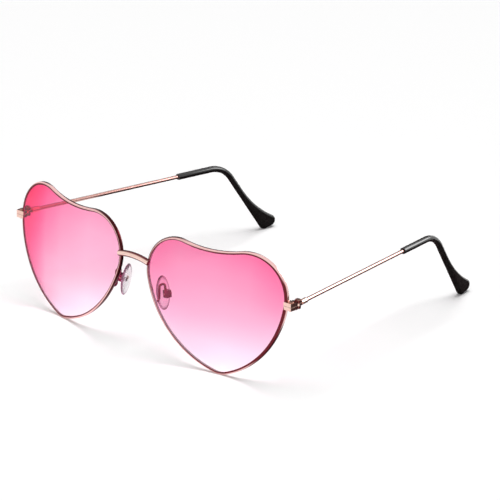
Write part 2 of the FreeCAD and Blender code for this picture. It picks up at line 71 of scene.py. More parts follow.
# Rim wire, domed outside and grooved inside, and the lens that sits in the groove
RIM_WIRE_WIDTH = 0.0011
RIM_WIRE_DEPTH = 0.0015
RIM_DOME_ROUND = 0.00045
RIM_INNER_ROUND = 0.0002
LENS_THICKNESS = 0.0012
LENS_TONGUE_REACH = 0.0004
LENS_TONGUE_THICKNESS = 0.0006
LENS_CLEARANCE = 0.00005

# Bridge bar
BRIDGE_BAR_RADIUS = 0.0012
BRIDGE_HEIGHT = 0.0365
BRIDGE_RISE = 0.001
BRIDGE_END_REACH = 0.00015
BRIDGE_END_ROUND = BRIDGE_BAR_RADIUS / 3
BRIDGE_BAR_FORWARD = 0.0009

# Hinge, from the closing block to its screw
BLOCK_REACH = 0.0025
BLOCK_DEPTH = 0.0032
BLOCK_LIP = 0.00045
HINGE_HEIGHT = 0.0332
HINGE_LEAF_THICKNESS = 0.0007
KNUCKLE_RADIUS = 0.0012
KNUCKLE_CLEARANCE = 0.00012

# Temple wire and its black tip
TEMPLE_INWARD_ANGLE = math.radians(8.8)
TEMPLE_WIRE_RADIUS = 0.00073
TEMPLE_WIRE_START = 0.0028
TIP_START = 0.0725
TIP_CORNER = 0.0955
TIP_BEND_RADIUS = 0.013
TIP_DROP_ANGLE = math.radians(54)
TIP_DROP_LENGTH = 0.0355
TIP_START_WIDTH = 0.0024
TIP_PADDLE_WIDTH = 0.0074
TIP_PADDLE_CORNER = 0.0023
TIP_PADDLE_SLANT = 0.0012
TIP_FLARE_LENGTH = 0.022
TIP_THICKNESS = 0.0025
TIP_EDGE_ROUND = 0.0011
TIP_CORE_SHORTFALL = 0.014
TIP_MOUTH_DEPTH = 0.0008
TIP_MOUTH_ROUND = 0.0002
TIP_MOUTH_LIP = 0.0002

# Nose pad, and the looped arm that carries it
PAD_LENGTH = 0.0132
PAD_WIDTH = 0.006
PAD_THICKNESS = 0.0022
PAD_SPREAD = 0.0119
PAD_SETBACK = 0.0038
PAD_HEIGHT = 0.0237
PAD_SPLAY_ANGLE = math.radians(10)
PAD_FLARE_ANGLE = math.radians(9.5)
PAD_STEM_WIDTH = 0.0011
PAD_STEM_HEIGHT = 0.0015
PAD_STEM_REACH = 0.0022
PAD_STEM_ROUND = PAD_STEM_WIDTH / 5
PAD_BOX_BACK = 0.0011
PAD_BOX_WALL = 0.0005
PAD_BOX_HEIGHT = 0.0028
PAD_BOX_CHEEK_REACH = 0.0007
PAD_CLEARANCE = 0.00006
ARM_WIRE_RADIUS = 0.00045
ARM_FOOT_HEIGHT = 0.0216
ARM_LOOP_HEIGHT = 0.0277
ARM_FOOT_SETBACK = 0.0016
ARM_BEND_RADIUS = 0.001

# Rounded edges of the blocks, hinge leaves, boxes and screws
SMALL_EDGE_ROUND = 0.00008
SMALL_EDGE_SEGMENTS = 2

# How finely round shapes are divided, and what counts as flat, sharp or the same point
ARC_STEP = math.radians(2.5)
WIRE_SIDES = 24
ROUND_SEGMENTS = 5
LENS_RINGS = 14
PAD_SEGMENTS = 40
PAD_RINGS = 24
FLAT_ANGLE = math.radians(1)
SHARP_ANGLE = math.radians(38)
BLOCK_SHARP_ANGLE = math.radians(20)
MERGE_DISTANCE = 1e-6

# Colours that vary over the grain of a piece, deep and pale, and the smoothest and roughest polish
ROSE_GOLD = ((0.84, 0.55, 0.47), (0.90, 0.63, 0.55))
# Temple wire: the same rose gold, darkened as painted shade
WIRE_ROSE_GOLD_PAINTED_SHADE = ((0.62, 0.34, 0.30), (0.70, 0.41, 0.37))
# Front hinge leaf: the rose gold darkened to near black, as painted shade and dark reflection
HINGE_ROSE_GOLD_PAINTED_SHADE = ((0.15, 0.03, 0.03), (0.22, 0.055, 0.05))
# Pad arms and boxes: the rose gold darkened and turned magenta, as painted shade
PAD_ARM_ROSE_PAINTED_SHADE = ((0.20, 0.03, 0.07), (0.28, 0.05, 0.10))
SCREW_BROWN = ((0.42, 0.25, 0.21), (0.52, 0.33, 0.28))
TIP_BLACK = ((0.006, 0.006, 0.006), (0.011, 0.011, 0.011))
PLATING_POLISH = (0.06, 0.12)
PAD_ARM_POLISH = (0.1, 0.2)
SCREW_POLISH = (0.22, 0.38)
TIP_POLISH = (0.16, 0.28)
PAD_POLISH = (0.12, 0.25)

# Most of the grain lies between these values, and its detail differs with what it varies
GRAIN_SPAN = (0.3, 0.7)
COLOUR_DETAIL = 4
POLISH_DETAIL = 3
RIPPLE_DETAIL = 2

# Attributes along which the colour of a piece changes.
# Nose pads: 0 in the middle and 1 at the edge.
# Rims: 0 outside and 1 beside the lens, and 0 at the back and 1 in front.
# Bridge: 0 in front and 1 on top and at the ends, and more below.
PAD_EDGE = "pad_edge"
RIM_INSET = "rim_inset"
RIM_FRONT = "rim_front"
BRIDGE_SHADE = "bridge_shade"
BRIDGE_LOWER_SHADE = 2.2

# Painted dark reflections of the rims and the bridge: dark lines in the plating's colour, which is pale
# up to the first share of shade and dark from the second
RIM_ROSE = (0.88, 0.55, 0.53)
BRIDGE_ROSE = (0.90, 0.64, 0.56)
PAINTED_REFLECTION_ROSE = (0.14, 0.02, 0.026)
NOSE_SHADE_ROSE = (0.06, 0.008, 0.01)
RIM_SHADE_SHARES = (0.42, 0.6)
BRIDGE_SHADE_SHARES = (0.55, 0.85)
# Beside the lens: weaker near the top of the rim and low down, and stronger towards the temple
RIM_TOP_SHARES = (0.8, 1.0)
RIM_TOP_SHADE_SHARE = 0.5
RIM_LOW_SHARES = (0.45, 0.7)
RIM_LOW_SHADE_SHARE = 0.7
RIM_SIDE_SHADE_SHARES = (0.8, 2.4)
# In front: growing over this part of the rim's width, from the nose side to the temple side
TEMPLE_LINE_SHARES = (0.55, 0.85)
TEMPLE_SHADE_SHARE = 0.7
# Outside: fading away from the nose
NOSE_SHADE_REACH = 0.036

# Pink dye of the lenses: its depth from the bottom (0) of the rim to the top (1)
TINT_FADE_SHARES = ((0.04, 0.16), (0.24, 0.34), (0.48, 0.75), (0.8, 1.08), (0.9, 1.27), (1.0, 1.6))
TINT_DEPTH = 3.5
TINT_STOPS = 10
# Blue goes more slowly than green where the dye is thin
TINT_BLUE_SHARE = 0.55
TINT_BLUE_POWER = 1.25
# Tint added from the nose side (0) to the temple side (1), at the bottom and at the top of each lens
LEFT_LENS_LOW_SHARES = ((0.1, 0.16), (0.3, 0.1), (0.6, 0.0))
LEFT_LENS_HIGH_SHARES = ((0.05, 0.5), (0.25, 0.06), (0.5, 0.03), (0.75, 0.18), (0.95, 0.7))
# The right lens gets far more tint towards its temple side than the left, so the two lenses differ
RIGHT_LENS_LOW_SHARES = ((0.3, 0.0), (0.55, 0.18), (0.72, 0.5), (0.92, 1.9))
RIGHT_LENS_HIGH_SHARES = ((0.3, 0.0), (0.56, 0.4), (0.72, 1.08), (0.92, 2.8))
LEFT_LENS_FADE_SHARE = 1
RIGHT_LENS_FADE_SHARE = 0.78
LENS_DYES = {
    "left": (LEFT_LENS_FADE_SHARE, LEFT_LENS_LOW_SHARES, LEFT_LENS_HIGH_SHARES),
    "right": (RIGHT_LENS_FADE_SHARE, RIGHT_LENS_LOW_SHARES, RIGHT_LENS_HIGH_SHARES),
}
# Heights between which the bottom's added tint goes over into the top's
LENS_SIDE_SHARES = (0.45, 0.95)

# Clear pieces: how much they bend light, and the colour that they leave to a lamp behind them
LENS_IOR = 1.3
LENS_SHADOW = (0.99, 0.97, 0.98)
PAD_IOR = 1.42
PAD_SHADOW = (0.9, 0.88, 0.89)
# Colours of the pad inside the first of its edge shares and outside the second
PAD_CLEAR = (0.84, 0.80, 0.83)
# Darker, magenta edge of the pad: painted shade
PAD_EDGE_PAINTED_SHADE = (0.24, 0.08, 0.15)
PAD_EDGE_SHARES = (0.78, 0.97)

# Studio: white floor and world, which light the object less than they show
WHITE = (1, 1, 1)
WORLD_FILL = 0.12
FLOOR_HALF_SIDE = 4
FLOOR_WHITE = (0.88, 0.88, 0.88)
FLOOR_GLOW = 0.1

# Softboxes, by place, aim, width and power
SOFTBOXES = {
    "overhead_softbox": (Vector((0, 0.1, 3)), Vector((0, 0.1, 0)), 2.2, 89.0),
    "front_softbox": (Vector((0.5, -0.95, 0.75)), Vector((0.02, -0.03, 0.02)), 0.7, 2.5),
}

# Black cards on the floor, by their left, right, front and back sides, each for one dark line in the metal
FLOOR_FLAG_HEIGHT = 0.0002
FLOOR_FLAGS = {
    "wire_flag": (-0.12, 0.118, 0.0, 0.12),
    "far_rim_flag": (0.0, 0.078, -0.06, 0.0),
    "hinge_flag": (0.118, 0.2, -0.03, 0.12),
}
# A black card behind and a white one at the side, by place, facing, width and height
BACK_FLAG = (Vector((-0.81, 0.885, 0.36)), Vector((0.81, -0.885, 0)), 0.9, 0.72)
SIDE_SHINE = (Vector((0.17, 0.26, 0.17)), Vector((-0.45, -0.69, -0.55)), 0.15, 0.2)
CARD_BLACK = (0.02, 0.005, 0.005)
SHINE_GLOW = 7.0

# Camera of the photograph
CAMERA_AZIMUTH = math.radians(42.29)
CAMERA_ELEVATION = math.radians(20.74)
CAMERA_ROLL = math.radians(0.85)
CAMERA_DISTANCE = 1.679
CAMERA_LENS = 324.0
CAMERA_SENSOR = 36.0
CAMERA_NEAR_CLIP = 0.01
CAMERA_TARGET = Vector((0.02977, -0.0351, 0.0387))


# Shape of the heart and of the lens sphere

def circle_meeting(centre_a, reach_a, centre_b, reach_b, side):
    """Point at the given reaches from two centres, left (1) or right (-1) of the way from a to b."""
    along = centre_b - centre_a
    distance = along.length
    along.normalize()
    across = Vector((-along.z, 0, along.x))
    forward = (reach_a ** 2 - reach_b ** 2 + distance ** 2) / (2 * distance)
    return centre_a + along * forward + across * (side * math.sqrt(reach_a ** 2 - forward ** 2))


def heart_arcs():
    """Six tangent arcs of the left outline, from the point up the outer side, as (centre, start, turn)."""
    inner_top = RIM_HEIGHT - INNER_LOBE_DROP
    inner_lobe = Vector((NASAL_EDGE + INNER_LOBE_RADIUS, 0, inner_top - INNER_LOBE_RADIUS))
    outer_lobe = Vector((NASAL_EDGE + RIM_WIDTH - OUTER_LOBE_RADIUS, 0, RIM_HEIGHT - OUTER_LOBE_RADIUS))
    point = Vector((NASAL_EDGE + POINT_OFFSET, 0, POINT_RADIUS))
    notch = circle_meeting(inner_lobe, NOTCH_RADIUS + INNER_LOBE_RADIUS,
                           outer_lobe, NOTCH_RADIUS + OUTER_LOBE_RADIUS, 1)
    outer_side = circle_meeting(outer_lobe, OUTER_SIDE_RADIUS - OUTER_LOBE_RADIUS,
                                point, OUTER_SIDE_RADIUS - POINT_RADIUS, -1)
    inner_side = circle_meeting(inner_lobe, INNER_SIDE_RADIUS - INNER_LOBE_RADIUS,
                                point, INNER_SIDE_RADIUS - POINT_RADIUS, 1)

    def heading(start, end):
        way = end - start
        return math.atan2(way.z, way.x)

    outer_low = heading(outer_side, point)
    outer_high = heading(outer_side, outer_lobe)
    notch_outer = heading(notch, outer_lobe)
    notch_inner = heading(notch, inner_lobe)
    inner_high = heading(inner_side, inner_lobe)
    inner_low = heading(inner_side, point)
    inward, outward = 1, -1
    arcs = [
        (point, inward, inner_low, outer_low),
        (outer_side, inward, outer_low, outer_high),
        (outer_lobe, inward, outer_high, notch_outer + math.pi),
        (notch, outward, notch_outer, notch_inner),
        (inner_lobe, inward, notch_inner + math.pi, inner_high),
        (inner_side, inward, inner_high, inner_low),
    ]
    return [(centre, start, (end - start) * way % (2 * math.pi) * way) for centre, way, start, end in arcs]


def heart_start():
    """Where the outline starts, at the first arc, and the outward direction there."""
    centre, start = heart_arcs()[0][:2]
    outward = Vector((math.cos(start), 0, math.sin(start)))
    return centre + outward * POINT_RADIUS, outward


def curve_centre():
    """Centre of the sphere that the left lens and rim follow."""
    behind_lens = Vector((-math.sin(FACE_WRAP_ANGLE), math.cos(FACE_WRAP_ANGLE), 0))
    return HEART_MIDDLE + behind_lens * LENS_CURVE_RADIUS


def curve_setback(x, z, depth=0):
    """How far back a layer at some depth behind the middle of the rim lies, at a place seen from in front."""
    centre = curve_centre()
    reach = math.sqrt((LENS_CURVE_RADIUS - depth) ** 2 - (x - centre.x) ** 2 - (z - centre.z) ** 2)
    return centre.y - reach


def nasal_side(height):
    """Distance from the mirror plane to the middle of the left rim's wire, low on its nose side."""
    centre = heart_arcs()[-1][0]
    radius = INNER_SIDE_RADIUS - RIM_WIRE_WIDTH / 2
    return centre.x - math.sqrt(radius ** 2 - (height - centre.z) ** 2)


def temporal_side(height):
    """Distance from the mirror plane to the outside of the left rim, at a height beside its outer lobe."""
    centre = heart_arcs()[2][0]
    return centre.x + math.sqrt(OUTER_LOBE_RADIUS ** 2 - (height - centre.z) ** 2)


# Places that follow from the sizes above
TEMPORAL_EDGE = temporal_side(HINGE_HEIGHT)
BLOCK_FRONT = curve_setback(TEMPORAL_EDGE, HINGE_HEIGHT) - RIM_WIRE_DEPTH / 2 - BLOCK_LIP
HINGE_AXIS = Vector((
    TEMPORAL_EDGE + BLOCK_REACH / 2,
    BLOCK_FRONT + BLOCK_DEPTH + HINGE_LEAF_THICKNESS + KNUCKLE_CLEARANCE + KNUCKLE_RADIUS,
    HINGE_HEIGHT,
))

# Left temple's frame in the square frame: X back along the temple, Y across it to the inside, Z up
TEMPLE_FRAME = Matrix.Translation(HINGE_AXIS) @ Matrix.Rotation(math.pi / 2 + TEMPLE_INWARD_ANGLE, 4, "Z")


def standing_matrix():
    """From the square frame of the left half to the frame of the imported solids, by the left hinge."""
    fold = next(joint for joint in frame["joints"] if joint["name"] == "left_temple_fold")
    axis = Vector(fold["axis"])
    lean = math.atan2(axis.y, axis.z)
    leaning = Matrix.Rotation(-lean, 4, "X")
    return Matrix.Translation(fold["pos_m"]) @ leaning @ Matrix.Translation(-HINGE_AXIS)


def pad_matrix():
    """Left pad screw's frame in the square frame: X back along the screw, Y away from the nose, Z down."""
    splay = Matrix.Rotation(math.pi / 2 - PAD_SPLAY_ANGLE, 4, "Z")
    flare = Matrix.Rotation(-PAD_FLARE_ANGLE, 4, "Y")
    aim = Matrix.Rotation(math.pi, 4, "X")
    return Matrix.Translation((PAD_SPREAD, PAD_SETBACK, PAD_HEIGHT)) @ flare @ splay @ aim


STAND = standing_matrix()
PAD_FRAME = pad_matrix()


# Mesh tools

def edges_of(geometry):
    return [item for item in geometry if isinstance(item, bmesh.types.BMEdge)]


def verts_of(geometry):
    return [item for item in geometry if isinstance(item, bmesh.types.BMVert)]


def linked_edges(verts):
    return list(dict.fromkeys(edge for vert in verts for edge in vert.link_edges))


def sharp_edges(bm):
    return [edge for edge in bm.edges if edge.calc_face_angle(0) > SHARP_ANGLE]


def steps_for(angle):
    return max(2, round(abs(angle) / ARC_STEP))


def merge_doubles(bm):
    bmesh.ops.remove_doubles(bm, verts=bm.verts, dist=MERGE_DISTANCE)


def round_off(bm, geometry, reach, affect="EDGES", segments=ROUND_SEGMENTS, clamp_overlap=False):
    bmesh.ops.bevel(bm, geom=geometry, offset=reach, segments=segments, profile=0.5, affect=affect,
                    material=-1, clamp_overlap=clamp_overlap)


def swing(bm, geometry, centre, axis, angle, steps_factor=1):
    """Sweeps geometry round an axis, and returns where it ends."""
    steps = steps_for(angle) * steps_factor
    return bmesh.ops.spin(bm, geom=geometry, cent=centre, axis=axis, angle=angle, steps=steps)["geom_last"]


def facing_matrix(place, heading):
    """Frame at a place, with its Z along a heading."""
    return Matrix.Translation(place) @ heading.to_track_quat("Z", "Y").to_matrix().to_4x4()


def heart_section(bm, section):
    """Points of a section where the outline starts, by their inset from it and their depth."""
    place, outward = heart_start()
    return [bm.verts.new(place - outward * inset + Vector((0, depth, 0))) for inset, depth in section]


def sweep_heart(bm, geometry):
    """Carries a section once round the heart outline."""
    for centre, _, turn in heart_arcs():
        geometry = swing(bm, geometry, centre, FORWARDS, turn)
    merge_doubles(bm)


def bend_to_curve(bm):
    """Lays a flat heart on the lens sphere; a point's Y becomes its depth behind the sphere."""
    for vert in bm.verts:
        vert.co.y = curve_setback(vert.co.x, vert.co.z, vert.co.y)


def extend(bm, loop, way):
    """Draws an open end of a tube straight on, and returns its new end."""
    grown = bmesh.ops.extrude_edge_only(bm, edges=loop)["geom"]
    bmesh.ops.translate(bm, verts=verts_of(grown), vec=way)
    ends = set(verts_of(grown))
    return [edge for edge in edges_of(grown) if ends.issuperset(edge.verts)]


def resize(bm, loop, centre, shares):
    verts = list(dict.fromkeys(vert for edge in loop for vert in edge.verts))
    bmesh.ops.scale(bm, vec=shares, space=Matrix.Translation(-centre), verts=verts)


def cap(bm, loop):
    bmesh.ops.contextual_create(bm, geom=loop)


def bar_section(bm, place, heading, radius):
    """Ring of edges square to a heading."""
    square = facing_matrix(place, heading)
    ring = bmesh.ops.create_circle(bm, segments=WIRE_SIDES, radius=radius, matrix=square)
    return linked_edges(ring["verts"])


def bent_bar(bm, points, bend_radius, radius):
    """Round bar through the points, with tangent bends and flat ends."""
    loop = bar_section(bm, points[0], (points[1] - points[0]).normalized(), radius)
    cap(bm, loop)
    begin = points[0]
    for before, corner, after in zip(points, points[1:], points[2:]):
        arriving = (corner - before).normalized()
        leaving = (after - corner).normalized()
        turn = arriving.angle(leaving)
        setback = bend_radius * math.tan(turn / 2)
        axis = arriving.cross(leaving).normalized()
        first = corner - arriving * setback
        loop = extend(bm, loop, first - begin)
        loop = edges_of(swing(bm, loop, first + axis.cross(arriving) * bend_radius, axis, turn))
        begin = corner + leaving * setback
    loop = extend(bm, loop, points[-1] - begin)
    cap(bm, loop)


# Pieces

def add_object(name, bm, material):
    """Object at the origin from a mesh."""
    mesh = bpy.data.meshes.new(name)
    bm.to_mesh(mesh)
    mesh.materials.append(material)
    shown = bpy.data.objects.new(name, mesh)
    bpy.context.scene.collection.objects.link(shown)
    return shown


def add_piece(name, bm, material, body, node, sharp_angle=SHARP_ANGLE):
    """One piece of the object from a mesh in the frame of the solids."""
    piece = add_object(name, bm, material)
    piece.data.shade_smooth()
    piece.data.set_sharp_from_angle(angle=sharp_angle)
    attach(piece, body)
    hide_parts(node)


def add_pair(bm, name, materials, body, node):
    """Left piece from a mesh in the square frame of the left half, and its mirror image on the right."""
    merge_doubles(bm)
    bmesh.ops.recalc_face_normals(bm, faces=bm.faces)
    bmesh.ops.transform(bm, matrix=STAND, verts=bm.verts)
    for side in SIDES:
        if side == "right":
            bmesh.ops.scale(bm, vec=(-1, 1, 1), verts=bm.verts)
            bmesh.ops.reverse_faces(bm, faces=bm.faces)
        add_piece(f"{side}_{name}", bm, materials[side], body.format(side=side), f"{side}_{node}")
    bm.free()


def make_rims(materials):
    """Heart shaped wire, domed outside, with the groove for the lens inside."""
    bm = bmesh.new()
    inset_layer = bm.verts.layers.float.new(RIM_INSET)
    front_layer = bm.verts.layers.float.new(RIM_FRONT)
    half_depth = RIM_WIRE_DEPTH / 2
    half_groove = LENS_TONGUE_THICKNESS / 2 + LENS_CLEARANCE
    groove_bottom = RIM_WIRE_WIDTH - LENS_TONGUE_REACH - LENS_CLEARANCE
    corners = heart_section(bm, [
        (0, -half_depth), (0, half_depth), (RIM_WIRE_WIDTH, half_depth), (RIM_WIRE_WIDTH, half_groove),
        (groove_bottom, half_groove), (groove_bottom, -half_groove),
        (RIM_WIRE_WIDTH, -half_groove), (RIM_WIRE_WIDTH, -half_depth),
    ])
    bm.faces.new(corners)
    round_off(bm, corners[:2], RIM_DOME_ROUND, affect="VERTICES")
    round_off(bm, [corners[2], corners[-1]], RIM_INNER_ROUND, affect="VERTICES")
    bmesh.ops.delete(bm, geom=bm.faces[:], context="FACES_ONLY")
    place, outward = heart_start()
    # Inset across the wire and depth through it, along which the rim's painted dark reflections are laid
    for vert in bm.verts:
        vert[inset_layer] = (place - vert.co).dot(outward) / RIM_WIRE_WIDTH
        vert[front_layer] = (half_depth - vert.co.y) / RIM_WIRE_DEPTH
    sweep_heart(bm, bm.edges[:])
    bend_to_curve(bm)
    add_pair(bm, "heart_rim", materials, "front", "rim")


def make_lenses(materials):
    """Curved pane with the tongue round its edge that sits in the rim's groove."""
    bm = bmesh.new()
    half_tongue = LENS_TONGUE_THICKNESS / 2
    tongue_inset = RIM_WIRE_WIDTH - LENS_TONGUE_REACH
    pane_inset = RIM_WIRE_WIDTH + LENS_CLEARANCE
    points = heart_section(bm, [
        (tongue_inset, 0), (tongue_inset, -half_tongue), (pane_inset, -half_tongue),
        (pane_inset, -LENS_THICKNESS / 2),
    ])
    edges = [bm.edges.new(pair) for pair in zip(points, points[1:])]
    sweep_heart(bm, points + edges)
    loop = [edge for edge in bm.edges if edge.is_boundary and edge.verts[0].co.y < -half_tongue]
    for ring in range(LENS_RINGS, 1, -1):
        loop = extend(bm, loop, Vector((0, 0, 0)))
        share = (ring - 1) / ring
        resize(bm, loop, HEART_MIDDLE, (share, 1, share))
    cap(bm, loop)
    bmesh.ops.mirror(bm, geom=bm.verts[:] + bm.edges[:] + bm.faces[:], axis="Y", merge_dist=MERGE_DISTANCE)
    bend_to_curve(bm)
    add_pair(bm, "tinted_lens", materials, "front", "lens")


def make_bridge(material):
    """Arched bar with domed ends, lapped over the front of both rims."""
    bm = bmesh.new()
    shade_layer = bm.verts.layers.float.new(BRIDGE_SHADE)
    end = NASAL_EDGE + RIM_WIRE_WIDTH + BRIDGE_END_REACH
    setback = curve_setback(NASAL_EDGE, BRIDGE_HEIGHT) - BRIDGE_BAR_FORWARD
    low = BRIDGE_HEIGHT - BRIDGE_RISE / 2
    arch_radius = (end ** 2 + BRIDGE_RISE ** 2) / (2 * BRIDGE_RISE)
    centre = Vector((0, setback, low + BRIDGE_RISE - arch_radius))
    start = Vector((-end, setback, low))
    turn = 2 * math.asin(end / arch_radius)
    heading = Vector((math.cos(turn / 2), 0, math.sin(turn / 2)))
    loop = bar_section(bm, start, heading, BRIDGE_BAR_RADIUS)
    cap(bm, loop)
    cap(bm, edges_of(swing(bm, loop, centre, BACKWARDS, turn, steps_factor=2)))
    bmesh.ops.recalc_face_normals(bm, faces=bm.faces)
    round_off(bm, sharp_edges(bm), BRIDGE_END_ROUND)
    # Shade of the painted dark reflections, from the way each point faces: up, down and at the ends
    bm.normal_update()
    for vert in bm.verts:
        vert[shade_layer] = max(abs(vert.normal.x), vert.normal.z, -BRIDGE_LOWER_SHADE * vert.normal.z)
    bmesh.ops.transform(bm, matrix=STAND, verts=bm.verts)
    add_piece("bridge_bar", bm, material, "front", "bridge")
    bm.free()


def on_drop(run, rise):
    """Point in the temple's frame, down its drop from the corner and up square to it."""
    return Vector((TIP_CORNER + run * math.cos(TIP_DROP_ANGLE) + rise * math.sin(TIP_DROP_ANGLE), 0,
                   rise * math.cos(TIP_DROP_ANGLE) - run * math.sin(TIP_DROP_ANGLE)))


def make_temple_wires(materials):
    """Round wire from the hinge socket, bent down inside the tip."""
    bm = bmesh.new()
    start = Vector((TEMPLE_WIRE_START, 0, 0))
    corner = Vector((TIP_CORNER, 0, 0))
    end = on_drop(TIP_DROP_LENGTH - TIP_CORE_SHORTFALL, 0)
    points = [TEMPLE_FRAME @ point for point in (start, corner, end)]
    bent_bar(bm, points, TIP_BEND_RADIUS, TEMPLE_WIRE_RADIUS)
    add_pair(bm, "temple_bar", materials, "{side}_temple", "temple_wire")


def tip_arcs():
    """Round parts of the tip's outline, from the top of the mouth to its foot, as (start, centre, turn)."""
    half_width = TIP_START_WIDTH / 2
    bend = (TIP_BEND_RADIUS * math.tan(TIP_DROP_ANGLE / 2), -TIP_BEND_RADIUS)
    front_corner = (TIP_DROP_LENGTH, TIP_PADDLE_CORNER - half_width)
    flare_rise = TIP_PADDLE_WIDTH - TIP_START_WIDTH - TIP_PADDLE_CORNER
    back_corner = (TIP_DROP_LENGTH + TIP_PADDLE_SLANT, half_width + flare_rise)
    flare_reach = TIP_PADDLE_CORNER + flare_rise
    flare_radius = (TIP_FLARE_LENGTH ** 2 / flare_reach - TIP_PADDLE_CORNER + flare_rise) / 2
    flare = (back_corner[0] - TIP_FLARE_LENGTH, half_width + flare_radius)

    def heading(start, end):
        return math.atan2(end[1] - start[1], end[0] - start[0])

    square = math.pi / 2
    end_heading = heading(front_corner, back_corner) - square
    arcs = [
        (bend, TIP_BEND_RADIUS + half_width, square + TIP_DROP_ANGLE, square),
        (flare, flare_radius, -square, heading(flare, back_corner)),
        (back_corner, TIP_PADDLE_CORNER, heading(back_corner, flare), end_heading),
        (front_corner, TIP_PADDLE_CORNER, end_heading, -square),
        (bend, TIP_BEND_RADIUS - half_width, square, square + TIP_DROP_ANGLE),
    ]
    return [(on_drop(centre[0] + radius * math.cos(first), centre[1] + radius * math.sin(first)),
             on_drop(*centre), last - first) for centre, radius, first, last in arcs]


def make_temple_tips(materials):
    """Black sleeve that bends down and flares backwards into a paddle with two round corners."""
    bm = bmesh.new()
    half_width = TIP_START_WIDTH / 2
    first = pen = bm.verts.new((TIP_START, 0, half_width))
    for start, centre, turn in tip_arcs():
        line_end = bm.verts.new(start)
        bm.edges.new((pen, line_end))
        pen = verts_of(swing(bm, [line_end], centre, FORWARDS, turn))[0]
    foot = bm.verts.new((TIP_START, 0, -half_width))
    bm.edges.new((pen, foot))
    bm.edges.new((foot, first))
    merge_doubles(bm)
    side = bmesh.ops.contextual_create(bm, geom=bm.edges[:])["faces"]
    bmesh.ops.translate(bm, vec=(0, -TIP_THICKNESS / 2, 0), verts=bm.verts)
    other_side = bmesh.ops.extrude_face_region(bm, geom=side)["geom"]
    bmesh.ops.translate(bm, vec=(0, TIP_THICKNESS, 0), verts=verts_of(other_side))
    bmesh.ops.recalc_face_normals(bm, faces=bm.faces)

    def at_mouth(item):
        return all(vert.co.x < TIP_START + MERGE_DISTANCE for vert in item.verts)

    long_edges = [edge for edge in sharp_edges(bm) if not at_mouth(edge)]
    round_off(bm, long_edges, TIP_EDGE_ROUND, segments=2 * ROUND_SEGMENTS)

    # Rounded lip of the mouth, and the hole round the wire
    round_off(bm, [edge for edge in bm.edges if at_mouth(edge)], TIP_MOUTH_ROUND)
    mouth = [face for face in bm.faces if at_mouth(face)]
    bmesh.ops.inset_region(bm, faces=mouth, thickness=TIP_MOUTH_LIP)
    hole = bmesh.ops.extrude_face_region(bm, geom=mouth)["geom"]
    bmesh.ops.translate(bm, vec=(TIP_MOUTH_DEPTH, 0, 0), verts=verts_of(hole))
    bmesh.ops.delete(bm, geom=mouth, context="FACES")
    bmesh.ops.transform(bm, matrix=TEMPLE_FRAME, verts=bm.verts)
    add_pair(bm, "black_tip", materials, "{side}_temple", "temple_tip")


def make_nose_pads(materials):
    """Soft clear oval with a stem, in the pad screw's frame."""
    bm = bmesh.new()
    edge_layer = bm.verts.layers.float.new(PAD_EDGE)
    oval = bmesh.ops.create_uvsphere(bm, u_segments=PAD_SEGMENTS, v_segments=PAD_RINGS, radius=1)["verts"]
    for vert in oval:
        vert[edge_layer] = math.hypot(vert.co.x, vert.co.z)
    bmesh.ops.scale(bm, vec=(PAD_WIDTH / 2, PAD_THICKNESS / 2, PAD_LENGTH / 2), verts=oval)
    bmesh.ops.translate(bm, vec=(0, -PAD_STEM_REACH, 0), verts=oval)
    stem = bmesh.ops.create_cube(bm, size=1)["verts"]
    stem_length = PAD_STEM_REACH + PAD_STEM_HEIGHT / 2 - PAD_THICKNESS / 4
    bmesh.ops.scale(bm, vec=(PAD_STEM_WIDTH, stem_length, PAD_STEM_HEIGHT), verts=stem)
    bmesh.ops.translate(bm, vec=(0, PAD_STEM_HEIGHT / 2 - stem_length / 2, 0), verts=stem)
    round_off(bm, linked_edges(stem), PAD_STEM_ROUND)
    bmesh.ops.transform(bm, matrix=PAD_FRAME, verts=bm.verts)
    add_pair(bm, "clear_pad", materials, "{side}_pad", "nose_pad")


def make_pad_arms(materials):
    """Thin wire that leaves the back of the rim, loops upwards and comes down on top of the pad box."""
    bm = bmesh.new()
    box_front = -(PAD_STEM_WIDTH / 2 + PAD_CLEARANCE + PAD_BOX_WALL)
    box_middle = (PAD_BOX_BACK + PAD_BOX_WALL - PAD_BOX_CHEEK_REACH) / 2
    end = PAD_FRAME @ Vector((box_front + ARM_WIRE_RADIUS, box_middle, -PAD_BOX_HEIGHT / 2))
    off_box = PAD_FRAME.to_3x3() @ -UPWARDS
    over_box = end + off_box * ((ARM_LOOP_HEIGHT - end.z) / off_box.z)
    foot_x = nasal_side(ARM_FOOT_HEIGHT)
    foot_y = curve_setback(foot_x, ARM_FOOT_HEIGHT)
    loop_y = foot_y + RIM_WIRE_DEPTH / 2 + ARM_FOOT_SETBACK
    points = [
        Vector((foot_x, foot_y + RIM_WIRE_DEPTH / 4, ARM_FOOT_HEIGHT)),
        Vector((foot_x, loop_y, ARM_FOOT_HEIGHT)),
        Vector((foot_x, loop_y, ARM_LOOP_HEIGHT)),
        over_box,
        end,
    ]
    bent_bar(bm, points, ARM_BEND_RADIUS, ARM_WIRE_RADIUS)
    add_pair(bm, "pad_wire", materials, "front", "pad_arm")


def soften_node(node, name, material, body):
    """Copy of a small solid with its sharp edges rounded."""
    bm = bmesh.new()
    bm.from_mesh(frame["nodes"][node].data)
    merge_doubles(bm)
    bmesh.ops.dissolve_limit(bm, angle_limit=FLAT_ANGLE, verts=bm.verts, edges=bm.edges)
    round_off(bm, sharp_edges(bm), SMALL_EDGE_ROUND, segments=SMALL_EDGE_SEGMENTS, clamp_overlap=True)
    add_piece(name, bm, material, body, node, BLOCK_SHARP_ANGLE)
    bm.free()


